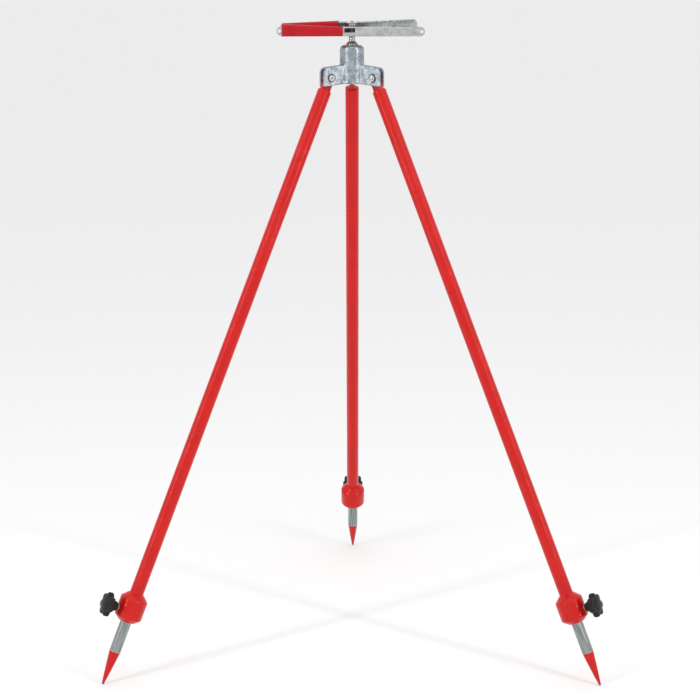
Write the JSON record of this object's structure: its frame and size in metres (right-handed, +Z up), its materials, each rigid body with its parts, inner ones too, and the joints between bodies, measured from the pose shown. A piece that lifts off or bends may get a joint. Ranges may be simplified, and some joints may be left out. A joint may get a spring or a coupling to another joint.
{
  "type": "ranging pole tripod",
  "caption": "Hinged leg tripod with telescopic spiked legs, star knob leg clamps and a ball-jointed spring clamp that holds a ranging pole upright.",
  "frame": {"origin": "on the ground, under the vertical axis of the head", "axes": "+Z up; +X along the clamp's jaws; the rear leg points along +Y and the front is -Y"},
  "size_m": [0.7934, 0.6949, 1.0279],
  "materials": {
    "cast_zinc": "as-cast light alloy, tumbled",
    "red_paint": "gloss signal red enamel",
    "red_vinyl": "dipped soft vinyl, semi-gloss",
    "arm_plate": "zinc-plated pressed sheet, mottled",
    "zinc_plate": "zinc-plated fastener",
    "turned_steel": "turned and plated steel",
    "spring_steel": "drawn spring wire",
    "galvanised_rod": "zinc-plated drawn tube",
    "bush_plastic": "moulded acetal",
    "pad_plastic": "moulded nylon",
    "knob_plastic": "moulded black thermoset, satin"
  },
  "bodies": {
    "head": {"head_casting": "cast_zinc", "cup_spring": "spring_steel", "retaining_plug": "zinc_plate", "hinge_bolt_left": "zinc_plate", "hinge_nut_left": "zinc_plate", "hinge_bolt_right": "zinc_plate", "hinge_nut_right": "zinc_plate", "hinge_bolt_rear": "zinc_plate", "hinge_nut_rear": "zinc_plate"},
    "leg_left": {"leg_tube_left": "red_paint", "hinge_tongue_left": "red_paint", "tongue_pin_left": "red_paint", "collar_left": "red_paint", "guide_sleeve_left": "bush_plastic"},
    "inner_leg_left": {"inner_rod_left": "galvanised_rod", "stop_bush_left": "bush_plastic", "spike_left": "red_paint", "spike_pin_left": "zinc_plate"},
    "pad_left": {"pressure_pad_left": "pad_plastic"},
    "knob_left": {"star_knob_left": "knob_plastic", "clamp_screw_left": "zinc_plate"},
    "leg_right": {"leg_tube_right": "red_paint", "hinge_tongue_right": "red_paint", "tongue_pin_right": "red_paint", "collar_right": "red_paint", "guide_sleeve_right": "bush_plastic"},
    "inner_leg_right": {"inner_rod_right": "galvanised_rod", "stop_bush_right": "bush_plastic", "spike_right": "red_paint", "spike_pin_right": "zinc_plate"},
    "pad_right": {"pressure_pad_right": "pad_plastic"},
    "knob_right": {"star_knob_right": "knob_plastic", "clamp_screw_right": "zinc_plate"},
    "leg_rear": {"leg_tube_rear": "red_paint", "hinge_tongue_rear": "red_paint", "tongue_pin_rear": "red_paint", "collar_rear": "red_paint", "guide_sleeve_rear": "bush_plastic"},
    "inner_leg_rear": {"inner_rod_rear": "galvanised_rod", "stop_bush_rear": "bush_plastic", "spike_rear": "red_paint", "spike_pin_rear": "zinc_plate"},
    "pad_rear": {"pressure_pad_rear": "pad_plastic"},
    "knob_rear": {"star_knob_rear": "knob_plastic", "clamp_screw_rear": "zinc_plate"},
    "ball_cup": {"ball_cup": "bush_plastic"},
    "stud": {"ball_stud": "turned_steel", "pivot_nut": "zinc_plate"},
    "clamp": {"front_arm": "arm_plate", "front_grip_sleeve": "red_vinyl", "pivot_spacer": "zinc_plate", "torsion_spring": "spring_steel"},
    "rear_arm": {"rear_arm": "arm_plate", "rear_grip_sleeve": "red_vinyl"}
  },
  "joints": [
    {"name": "leg_left_fold", "type": "hinge", "parent": "head", "child": "leg_left", "pos_m": [-0.03551, -0.0205, 0.93707], "axis": [0.5, -0.866, 0], "range_deg": [0, 23.8]},
    {"name": "inner_leg_left_slide", "type": "slide", "parent": "leg_left", "child": "inner_leg_left", "axis": [-0.3495, -0.2018, -0.915], "range_m": [-0.045, 0.385]},
    {"name": "pad_left_slide", "type": "slide", "parent": "leg_left", "child": "pad_left", "axis": [-0.7924, -0.4575, 0.4035], "range_m": [0, 0.0025]},
    {"name": "knob_left_turn", "type": "hinge", "parent": "pad_left", "child": "knob_left", "pos_m": [-0.34952, -0.20179, 0.11498], "axis": [-0.7924, -0.4575, 0.4035], "range_deg": [0, 720]},
    {"name": "leg_right_fold", "type": "hinge", "parent": "head", "child": "leg_right", "pos_m": [0.03551, -0.0205, 0.93707], "axis": [0.5, 0.866, 0], "range_deg": [0, 23.8]},
    {"name": "inner_leg_right_slide", "type": "slide", "parent": "leg_right", "child": "inner_leg_right", "axis": [0.3495, -0.2018, -0.915], "range_m": [-0.045, 0.385]},
    {"name": "pad_right_slide", "type": "slide", "parent": "leg_right", "child": "pad_right", "axis": [0.7924, -0.4575, 0.4035], "range_m": [0, 0.0025]},
    {"name": "knob_right_turn", "type": "hinge", "parent": "pad_right", "child": "knob_right", "pos_m": [0.34952, -0.20179, 0.11498], "axis": [0.7924, -0.4575, 0.4035], "range_deg": [0, 720]},
    {"name": "leg_rear_fold", "type": "hinge", "parent": "head", "child": "leg_rear", "pos_m": [0, 0.041, 0.93707], "axis": [-1, 0, 0], "range_deg": [0, 23.8]},
    {"name": "inner_leg_rear_slide", "type": "slide", "parent": "leg_rear", "child": "inner_leg_rear", "axis": [0, 0.4035, -0.915], "range_m": [-0.045, 0.385]},
    {"name": "pad_rear_slide", "type": "slide", "parent": "leg_rear", "child": "pad_rear", "axis": [0, 0.915, 0.4035], "range_m": [0, 0.0025]},
    {"name": "knob_rear_turn", "type": "hinge", "parent": "pad_rear", "child": "knob_rear", "pos_m": [0, 0.40359, 0.11498], "axis": [0, 0.915, 0.4035], "range_deg": [0, 720]},
    {"name": "ball_turn", "type": "hinge", "parent": "head", "child": "ball_cup", "pos_m": [0, 0, 0.98407], "axis": [0, 0, 1], "continuous": true},
    {"name": "stud_tilt", "type": "hinge", "parent": "ball_cup", "child": "stud", "pos_m": [0, 0, 0.98407], "axis": [0, 1, 0], "range_deg": [-35, 35]},
    {"name": "clamp_swivel", "type": "hinge", "parent": "stud", "child": "clamp", "pos_m": [0, 0, 1.00177], "axis": [0, 0, 1], "continuous": true},
    {"name": "rear_arm_squeeze", "type": "hinge", "parent": "clamp", "child": "rear_arm", "pos_m": [0, 0, 1.00177], "axis": [0, 0, 1], "range_deg": [0, 16], "stiffness_Nm_per_rad": 4, "springref_deg": -24.98, "deforming": ["torsion_spring"]}
  ],
  "couplings": [
    {"joint": "knob_left_turn", "follows": "pad_left_slide", "rad_per_m": 5026.5},
    {"joint": "knob_right_turn", "follows": "pad_right_slide", "rad_per_m": 5026.5},
    {"joint": "knob_rear_turn", "follows": "pad_rear_slide", "rad_per_m": 5026.5}
  ]
}
